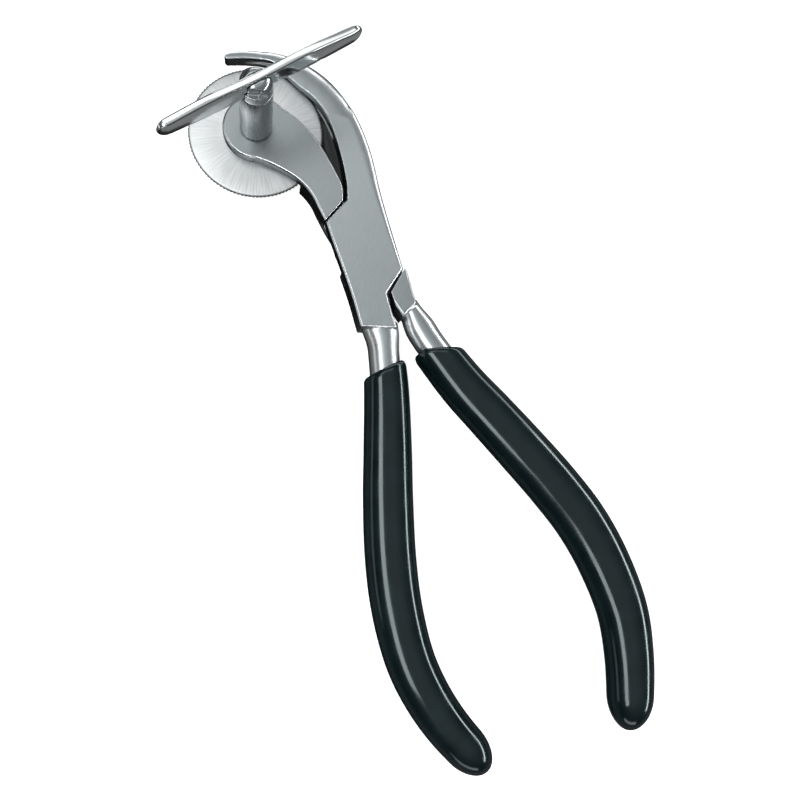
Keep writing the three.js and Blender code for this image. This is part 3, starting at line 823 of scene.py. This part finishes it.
def grip(name, points, rim_point, rim_angle, fullness):
    """A dipped sleeve: domed at its end, hollow inside, with a slanted rolled rim.

    rim_point lies on the rim's cut, and rim_angle is the cut's direction in degrees.
    """
    sides, rows, squareness = 112, 170, 2.2
    path = Path(points[2:])
    rim, turn = np.array(rim_point), math.radians(rim_angle)
    up_side = np.array([-math.sin(turn), math.cos(turn)])
    dome, lip, lip_length = 0.075, 0.85, 1.9

    def half_width(share):
        return fullness * (4.85 + 1.1 * math.sin(math.pi * share) ** 0.8 - 0.25 * share)

    def half_height(share):
        return 4.9 + 0.1 * math.sin(math.pi * share)

    def point_at(share, across, width):
        point, tangent = path.at(share)
        return point + np.array([-tangent[1], tangent[0]]) * across * width

    angles = [2 * math.pi * k / sides for k in range(sides)]
    across = [rounded(math.cos(a), squareness) for a in angles]
    upward = [rounded(math.sin(a), squareness) for a in angles]
    starts = []  # where each line along the sleeve meets the cut, as a share of the path
    for a in across:
        low, high = 0.0, 0.3
        for _ in range(30):
            middle = (low + high) / 2
            if np.dot(point_at(middle, a, half_width(middle)) - rim, up_side) > 0:
                low = middle
            else:
                high = middle
        starts.append(high)

    def ring(share, width_less=0.0, scale=1.0, fixed=None):
        found = []
        for k in range(sides):
            s = min(share + starts[k] * (1 - share) ** 6, 1.0)
            width = fixed if fixed else max(0.02, (half_width(s) - width_less) * scale)
            height = fixed if fixed else max(0.02, (half_height(s) - width_less) * scale)
            x, y = point_at(s, across[k], width)
            found.append((x, y, HANDLE_LEVEL + upward[k] * height))
        return found

    rings = []
    for t in (0.15, 0.5, 0.9, 1.2):
        share = 1 - CORE_DOME - CORE_DOME * (1 - math.cos(t))
        rings.append(ring(share, fixed=GRIP_BORE * math.sin(t)))
    rings += [ring(share, fixed=GRIP_BORE) for share in np.linspace(0.94, 0.0, 40)]
    for t in QUARTER * np.arange(9) / 8:
        rings.append(ring(lip_length * (1 - math.cos(t)) / path.length, lip * (1 - math.sin(t))))
    start = lip_length / path.length
    for k in range(1, rows + 1):
        rings.append(ring(start + (1 - dome - start) * k / rows))
    for k in range(1, 19):
        t = k / 18 * 1.5
        rings.append(ring(1 - dome + dome * math.sin(t), scale=math.cos(t)))
    return loft(name, rings)


guard_grip = grip("guard_lever_sleeve", GUARD_HANDLE, (4.7, -27.1), 24, 0.96)
finished(guard_grip, GUARD_BODY, VINYL, ["guard_lever_grip"])
saw_grip = grip("saw_lever_sleeve", SAW_HANDLE, (17, -22.4), 10, 1.03)
finished(saw_grip, SAW_BODY, VINYL, ["saw_lever_grip"])

# The spindle housing, spindle and thumb key ------------------------------------------------------

profile = [
    (2.66, 5.6),
    (3.1, 5.6),
    (3.1, 8.02),
    (3.52, 8.02),
    (3.52, 21),
    (3.46, 25.68),
    (2.66, 25.68),
]
housing = turned("spindle_post", softened(profile, 0.22, closed=True), 144, closed=True)
finished(housing, SAW_BODY, POST_STEEL, ["spindle_housing"], sharp=40)

profile = [
    (0.01, 3.3),
    (1.9, 3.3),
    (1.9, 4.74),
    (3.3, 4.74),
    (3.3, 5.4),
    (1.9, 5.4),
    (1.9, 25.76),
    (3.44, 25.76),
    (3.4, 28.3),
    (3.2, 29.3),
    (2.7, 30.2),
    (1.8, 30.8),
    (0.01, 31),
]
spindle = turned("fork_spindle", softened(profile, 0.3), 144)
cutters = [
    block("slot", (-6, -1.05, KEY_LEVEL - KEY_WING), (6, 1.05, 40), KEY_ANGLE, SPINDLE),
    block("flat", (-6, 2.3, 28), (6, 6, 36), 0, SPINDLE),
    block("flat", (-6, -6, 28), (6, -2.3, 36), 0, SPINDLE),
    prism("bore", circle(1.25, SPINDLE, 48), 3, 9.3),
]
combine(spindle, cutters, "DIFFERENCE")
ground(spindle, voxel=0.09, smoothing=3, keep=0.5)
finished(spindle, SPIN_BODY, FORK_STEEL, ["saw_spindle"])


def key_outline():
    """The key from its side: two wings that swell from a waist at the pin and end round."""
    wing = KEY_REACH * 0.52
    runs = []
    for side in (1, -1):
        wave = [(-KEY_REACH, -KEY_TIP), (-wing, -KEY_WING), (0, -KEY_WAIST), (wing, -KEY_WING)]
        wave.append((KEY_REACH, -KEY_TIP))
        runs.append(spline([(side * x, side * y) for x, y in wave], 20))
        turns = np.linspace(-QUARTER, QUARTER, 25) + (0 if side == 1 else math.pi)
        centre = np.array([side * KEY_REACH, 0])
        runs.append(centre + KEY_TIP * np.column_stack([np.cos(turns), np.sin(turns)]))
    return joined_outline(*runs)


half = KEY_THICKNESS / 2
key = prism("wing_key", key_outline(), -half, half, KEY_EDGE, KEY_EDGE, rows=6)
tip_length = KEY_TIP + 0.9  # the key thins over this length at each end
for vertex in key.data.vertices:
    beyond = np.clip((abs(vertex.co.x) - KEY_REACH - KEY_TIP + tip_length) / tip_length, 0, 1)
    vertex.co.z *= math.sqrt(1 - 0.9 * beyond**2)
on_edge = Matrix.Rotation(QUARTER, 4, "X") @ Matrix.Translation((KEY_OFFSET, 0, 0))
in_fork = Matrix.Translation((*SPINDLE, KEY_LEVEL)) @ Matrix.Rotation(KEY_ANGLE, 4, "Z")
key.data.transform(in_fork @ on_edge)
finished(key, SPIN_BODY, KEY_STEEL, ["thumb_key"], sharp=40)

# The saw blade and its fittings ------------------------------------------------------------------


def toothed():
    """The blade's rim: raked teeth, each with a long back and a steep front."""
    found = []
    sides = BLADE_TEETH * TOOTH_STEPS
    for k in range(sides):
        phase = (k % TOOTH_STEPS) / TOOTH_STEPS
        share = phase / TOOTH_BACK if phase < TOOTH_BACK else (1 - phase) / (1 - TOOTH_BACK)
        radius = BLADE_RADIUS - TOOTH_DEPTH * share
        turn = 2 * math.pi * k / sides
        found.append((radius * math.cos(turn), radius * math.sin(turn)))
    return np.array(found) + SPINDLE


def blade():
    """A thin disc, relieved outside its hub, whose rim thins towards the teeth."""
    rows = [(1.95, 0), (4.6, 0), (4.75, 0.06), (9, 0.06), (14.2, 0.06), (14.5, 0.14)]
    sides = BLADE_TEETH * TOOTH_STEPS
    circles = [(circle(radius, SPINDLE, sides), inset) for radius, inset in rows]
    circles.append((toothed(), 0.2))
    rings = [at_level(flat, BLADE_FRONT - inset) for flat, inset in circles]
    rings += [at_level(flat, BLADE_BACK + inset) for flat, inset in reversed(circles)]
    return loft("round_saw", rings, closed=True)


finished(blade(), SPIN_BODY, BLADE_STEEL, ["saw_blade"], sharp=30)

profile = [(1.95, 2.95), (4.1, 2.95), (4.5, 3.3), (4.5, 3.85), (1.95, 3.85)]
clamp = turned("blade_clamp", softened(profile, 0.12, closed=True), 120, closed=True)
finished(clamp, SPIN_BODY, FITTING_STEEL, ["clamp_washer"], sharp=40)

profile = [(1.4, 2.25), (2.5, 2.25), (2.5, 2.9), (1.4, 2.9)]
split = turned("split_washer", softened(profile, 0.1, closed=True), 96, closed=True)
gap = block("gap", (0.5, -0.25, 1.5), (4.5, 0.25, 4), 0, SPINDLE)
combine(split, [gap], "DIFFERENCE")
finished(split, SPIN_BODY, FITTING_STEEL, ["lock_washer"], sharp=40)

profile = [
    (0.01, 0.95),
    (1.1, 0.98),
    (1.9, 1.12),
    (2.4, 1.4),
    (2.6, 1.75),
    (2.6, 2.2),
    (1.15, 2.2),
    (1.15, 9),
    (0.01, 9),
]
screw = turned("slotted_screw", softened(profile, 0.15), 96)
slot_cut = block("slot", (-4, -0.35, 0), (4, 0.35, 1.6), 0.6, SPINDLE)
combine(screw, [slot_cut], "DIFFERENCE")
finished(screw, SPIN_BODY, FITTING_STEEL, ["blade_screw"], sharp=30)

# Carried-over CAD nodes keep their shapes and get broken edges and their own finishes.
CARRIED = {
    "joint_rivet": GUARD_STEEL,
    "lower_bush": BRONZE,
    "upper_bush": BRONZE,
    "drive_pin_1": FITTING_STEEL,
    "drive_pin_2": FITTING_STEEL,
    "key_pin": FITTING_STEEL,
}
for node, material in CARRIED.items():
    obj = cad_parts[node]
    obj.data.materials.clear()
    obj.data.materials.append(material)
    edge = obj.modifiers.new("broken_edges", "BEVEL")
    edge.width = 0.08 * MM
    edge.segments = 3
    edge.limit_method = "ANGLE"
    edge.angle_limit = math.radians(50)

# Floor, light and camera -------------------------------------------------------------------------

floor_corners = np.array([(-3, -3), (3, -3), (3, 3), (-3, 3)])
floor = piece("floor", at_level(floor_corners, cad_box[0][2] - 0.05 * MM), [(0, 1, 2, 3)])
pale = Shader("pale_floor", Roughness=0.9)
pale.base.inputs["Base Color"].default_value = (0.86, 0.86, 0.86, 1)
pale.base.inputs["Emission Color"].default_value = (1, 1, 1, 1)
pale.base.inputs["Emission Strength"].default_value = 0.8
floor.data.materials.append(pale.material)
floor.visible_glossy = False
floor.visible_shadow = False


def soft_light(name, at, towards, size, radiance):
    data = bpy.data.lights.new(name, "AREA")
    data.shape = "RECTANGLE"
    data.size, data.size_y = size
    data.energy = radiance * math.pi * size[0] * size[1]
    light = bpy.data.objects.new(name, data)
    aim = (Vector(towards) - Vector(at)).to_track_quat("-Z", "Y")
    light.matrix_world = Matrix.Translation(at) @ aim.to_matrix().to_4x4()
    bpy.context.scene.collection.objects.link(light)


# Name, place, the point it faces, size, and brightness.
for light_box in (
    ("left_strip", (-0.24, -0.15, 0.50), (0.02, -0.08, 0), (0.44, 0.17), 7.0),
    ("right_box", (0.58, -0.06, 0.22), (0.03, -0.05, 0), (0.8, 0.07), 15.0),
    ("left_box", (-0.6, 0.0, 0.12), (0, 0, 0), (0.6, 0.14), 1.0),
    ("back_box", (0.0, 0.62, 0.16), (0, 0, 0), (0.5, 0.12), 4.5),
    ("back_right_box", (0.46, 0.46, 0.16), (0, 0, 0), (0.4, 0.12), 4.5),
    ("front_box", (0.0, -0.75, 0.14), (0, 0, 0), (0.6, 0.14), 2.5),
    ("upper_left_box", (-0.22, 0.22, 0.50), (-0.02, 0.02, 0), (0.2, 0.2), 1.8),
    ("far_box", (0.03, 0.325, 0.60), (0, 0, 0), (0.45, 0.19), 1.15),
    ("low_card", (0.13, -0.05, -0.30), (0, 0, 0), (0.7, 0.12), 0.2),
):
    soft_light(*light_box)

# The studio's grey, by height from straight down to straight up. The camera sees plain white.
sky = [(-1, 0.015), (-0.75, 0.015), (-0.5, 0.14), (-0.15, 0.16), (0, 0.06), (0.4, 0.06)]
sky += [(0.7, 0.22), (0.87, 0.42), (0.96, 0.57)]
world = bpy.data.worlds.new("studio")
world.use_nodes = True
bpy.context.scene.world = world
tree = world.node_tree
background = tree.nodes["Background"]
coordinates = tree.nodes.new("ShaderNodeTexCoord")
height = tree.nodes.new("ShaderNodeSeparateXYZ")
ramp = tree.nodes.new("ShaderNodeValToRGB")
tree.links.new(coordinates.outputs["Generated"], height.inputs[0])
halved = tree.nodes.new("ShaderNodeMapRange")
halved.inputs[1].default_value = -1
tree.links.new(height.outputs[2], halved.inputs[0])
tree.links.new(halved.outputs[0], ramp.inputs[0])
tree.links.new(ramp.outputs[0], background.inputs[0])
elements = ramp.color_ramp.elements
while len(elements) < len(sky):
    elements.new(0.5)
for element, (level, grey) in zip(elements, sky):
    element.position = (level + 1) / 2
    element.color = (grey, grey * 1.01, grey * 1.02, 1)
seen = tree.nodes.new("ShaderNodeLightPath")
white = tree.nodes.new("ShaderNodeBackground")
white.inputs[0].default_value = (1, 1, 1, 1)
choose = tree.nodes.new("ShaderNodeMixShader")
tree.links.new(seen.outputs["Is Camera Ray"], choose.inputs[0])
tree.links.new(background.outputs[0], choose.inputs[1])
tree.links.new(white.outputs[0], choose.inputs[2])
tree.links.new(choose.outputs[0], tree.nodes["World Output"].inputs[0])

# The camera stands where the photograph was taken from, nearly above the tool.
CAMERA_PLACE = (-0.022899, -0.058269, 0.200126)
CAMERA_RIGHT = (0.98762, 0, 0.15684)
CAMERA_FORWARD = (0.15567, 0.12187, -0.98026)
camera_data = bpy.data.cameras.new("camera")
camera_data.lens = 40.5
camera_data.sensor_width = 36
camera_data.clip_start = 0.01
camera = bpy.data.objects.new("camera", camera_data)
bpy.context.scene.collection.objects.link(camera)
forward = Vector(CAMERA_FORWARD).normalized()
up = Vector(CAMERA_RIGHT).cross(forward).normalized()
right = forward.cross(up).normalized()
basis = Matrix((right, up, -forward)).transposed().to_4x4()
camera.matrix_world = Matrix.Translation(CAMERA_PLACE) @ basis
bpy.context.scene.camera = camera
bpy.context.scene.view_settings.view_transform = "Standard"
